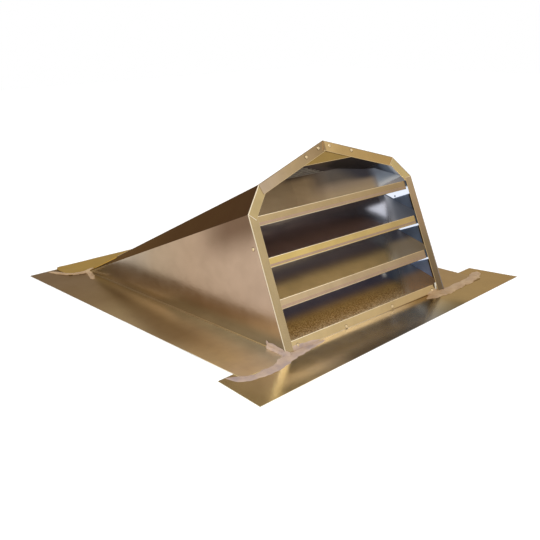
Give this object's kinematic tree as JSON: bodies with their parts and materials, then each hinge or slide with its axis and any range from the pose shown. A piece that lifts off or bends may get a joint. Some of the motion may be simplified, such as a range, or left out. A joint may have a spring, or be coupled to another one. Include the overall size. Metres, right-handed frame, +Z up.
{
  "type": "dormer roof vent",
  "caption": "Sheet-metal dormer vent: a tapering hood with side flanges, apron and back pan, and a leaning louvred face with an insect screen.",
  "frame": {"origin": "underside of the front apron, on the centre plane of the hood, at the foot of the louvred face", "axes": "+Z up from the roof deck the vent lies on, -Y out of the louvred face (down the roof), +X to the right seen from the front"},
  "size_m": [0.7841, 0.8341, 0.3236],
  "materials": {
    "sheet": "galvanised sheet, semi-gloss, with a warm bronze tone",
    "trim": "galvanised strip, satin, warm gold tone",
    "blade": "galvanised sheet, semi-gloss",
    "mesh": "galvanised wire mesh",
    "sealant": "brushed-on sealant, matt"
  },
  "bodies": {
    "root": {"left_side_panel": "sheet", "right_side_panel": "sheet", "left_side_flange": "sheet", "right_side_flange": "sheet", "left_eave_panel": "sheet", "right_eave_panel": "sheet", "left_roof_panel": "sheet", "right_roof_panel": "sheet", "left_rear_panel": "sheet", "right_rear_panel": "sheet", "front_apron": "sheet", "back_pan": "sheet", "left_pan_lap": "sheet", "right_pan_lap": "sheet", "bottom_rail": "trim", "rail_foot_flange": "trim", "left_post": "trim", "right_post": "trim", "left_eave_rail": "trim", "right_eave_rail": "trim", "left_roof_rail": "trim", "right_roof_rail": "trim", "apex_gusset": "trim", "louvre_blade_1": "blade", "louvre_blade_2": "blade", "louvre_blade_3": "blade", "louvre_blade_4": "blade", "left_top_ear": "blade", "right_top_ear": "blade", "insect_screen": "mesh", "front_left_sealant": "sealant", "front_right_sealant": "sealant", "rear_left_sealant": "sealant", "rear_right_sealant": "sealant"}
  },
  "joints": []
}
